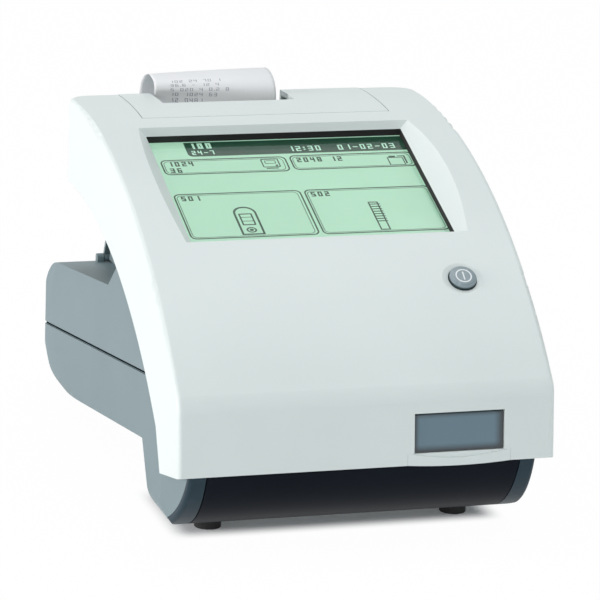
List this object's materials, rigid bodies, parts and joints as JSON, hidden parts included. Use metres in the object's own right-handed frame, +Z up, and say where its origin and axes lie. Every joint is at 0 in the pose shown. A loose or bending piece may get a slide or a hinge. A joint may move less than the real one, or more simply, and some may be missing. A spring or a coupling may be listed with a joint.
{
  "type": "urine analyzer",
  "caption": "Desktop reader for urine test strips: arched white cover with touch screen and power button, grey housing, sliding test table, strip printer and paper bay.",
  "frame": {"origin": "centre of the footprint, on the table that the feet stand on", "axes": "+X to the right as the user faces the screen, +Y from the front to the back, +Z up"},
  "size_m": [0.171, 0.272, 0.169],
  "materials": {
    "cover_white": "satin",
    "housing_grey": "fine texture",
    "skirt_charcoal": "satin",
    "front_black": "satin",
    "smoked_plastic": "gloss",
    "rubber_dark": "matte",
    "button_grey": "satin",
    "glass_clear": "clear",
    "display_green": "gloss",
    "steel_plate": "pressed sheet",
    "spring_steel": "nickel plated",
    "gear_brass": "machined",
    "gear_white": "moulded",
    "inner_black": "moulded",
    "arm_green": "moulded",
    "tray_grey": "moulded",
    "insert_white": "moulded",
    "head_ceramic": "ground",
    "paper_white": "thermal paper",
    "core_card": "plain",
    "lamp_clear": "gloss",
    "circuit_green": "solder mask",
    "cable_white": "flat ribbon",
    "cell_blue": "printed sleeve",
    "door_grey": "fine texture"
  },
  "bodies": {
    "housing": {"front_cover": "cover_white", "port_lip": "cover_white", "upper_housing": "housing_grey", "lower_housing": "housing_grey", "rear_panel": "housing_grey", "base_skirt": "skirt_charcoal", "base_front_panel": "front_black", "front_feet": "rubber_dark", "rear_feet": "rubber_dark", "paper_strip": "paper_white", "printer_motor": "steel_plate", "printer_frame": "steel_plate", "thermal_head": "head_ceramic", "head_springs": "spring_steel", "screen_gasket": "rubber_dark", "touch_panel": "glass_clear", "display_module": "display_green", "display_bracket": "steel_plate", "display_screws": "spring_steel", "power_switch": "inner_black", "button_board": "circuit_green", "table_motor": "steel_plate", "table_chassis": "inner_black", "optics_housing": "inner_black", "optics_lens": "glass_clear", "optics_board": "circuit_green", "optics_lamps": "lamp_clear", "main_board": "circuit_green", "board_chips": "inner_black", "board_headers": "inner_black", "display_cable": "cable_white", "printer_cable": "cable_white", "socket_board": "circuit_green", "power_inlet": "inner_black", "serial_port": "inner_black", "card_slot": "steel_plate", "board_screws": "spring_steel", "cover_screws": "spring_steel", "batteries": "cell_blue", "battery_contacts": "spring_steel"},
    "flap": {"port_flap": "smoked_plastic"},
    "printer_lid": {"printer_cover": "cover_white"},
    "paper_lid": {"paper_cover": "housing_grey"},
    "roll": {"paper_roll": "paper_white", "paper_core": "core_card"},
    "arm": {"paper_arm": "arm_green"},
    "platen": {"platen_roller": "rubber_dark", "platen_shaft": "steel_plate", "platen_gear": "gear_white"},
    "idler": {"idler_gear": "gear_white"},
    "motor_pinion": {"motor_gear": "gear_brass"},
    "button": {"power_button": "button_grey", "switch_plunger": "inner_black"},
    "table": {"test_table": "tray_grey", "table_rack": "gear_white", "calibration_bar": "insert_white"},
    "insert": {"table_insert": "insert_white"},
    "pinion": {"drive_pinion": "gear_white"},
    "bay_door": {"battery_door": "door_grey"}
  },
  "joints": [
    {"name": "table_slide", "type": "slide", "parent": "housing", "child": "table", "axis": [0, -1, 0], "range_m": [0, 0.12]},
    {"name": "flap_hinge", "type": "hinge", "parent": "housing", "child": "flap", "pos_m": [0.04135, -0.13125, 0.06015], "axis": [-1, 0, 0], "range_deg": [0, 91.5]},
    {"name": "pinion_spin", "type": "hinge", "parent": "housing", "child": "pinion", "pos_m": [0.01635, -0.08, 0.0456], "axis": [0, 0, -1], "range_deg": [0, 990]},
    {"name": "insert_lift", "type": "slide", "parent": "table", "child": "insert", "axis": [0, 0, 1], "range_m": [0, 0.003]},
    {"name": "button_press", "type": "slide", "parent": "housing", "child": "button", "axis": [0, 0.5801, -0.8146], "range_m": [0, 0.0012], "stiffness_N_per_m": 400, "springref_m": -0.0004},
    {"name": "printer_cover_lift", "type": "slide", "parent": "housing", "child": "printer_lid", "axis": [0, 0, 1], "range_m": [0, 0.045]},
    {"name": "arm_swing", "type": "hinge", "parent": "housing", "child": "arm", "pos_m": [-0.048, 0.06, 0.142], "axis": [1, 0, 0], "range_deg": [0, 55.5]},
    {"name": "paper_cover_hinge", "type": "hinge", "parent": "housing", "child": "paper_lid", "pos_m": [0, 0.10228, 0.07335], "axis": [-1, 0, 0], "range_deg": [0, 100]},
    {"name": "roll_spin", "type": "hinge", "parent": "housing", "child": "roll", "pos_m": [-0.014, 0.0605, 0.0977], "axis": [1, 0, 0], "continuous": true},
    {"name": "platen_spin", "type": "hinge", "parent": "housing", "child": "platen", "pos_m": [-0.014, 0.0762, 0.136], "axis": [1, 0, 0], "continuous": true},
    {"name": "idler_spin", "type": "hinge", "parent": "housing", "child": "idler", "pos_m": [0.0183, 0.066, 0.136], "axis": [1, 0, 0], "continuous": true},
    {"name": "motor_spin", "type": "hinge", "parent": "housing", "child": "motor_pinion", "pos_m": [0.0183, 0.06058, 0.12881], "axis": [1, 0, 0], "continuous": true},
    {"name": "battery_door_slide", "type": "slide", "parent": "housing", "child": "bay_door", "axis": [0, 0.9874, -0.1582], "range_m": [0, 0.008]}
  ],
  "couplings": [
    {"joint": "flap_hinge", "follows": "table_slide", "rad_per_m": 13.235},
    {"joint": "pinion_spin", "follows": "table_slide", "rad_per_m": 142.86},
    {"joint": "arm_swing", "follows": "printer_cover_lift", "rad_per_m": 21.332},
    {"joint": "idler_spin", "follows": "platen_spin", "ratio": -0.7},
    {"joint": "motor_spin", "follows": "platen_spin", "ratio": 1.4}
  ]
}
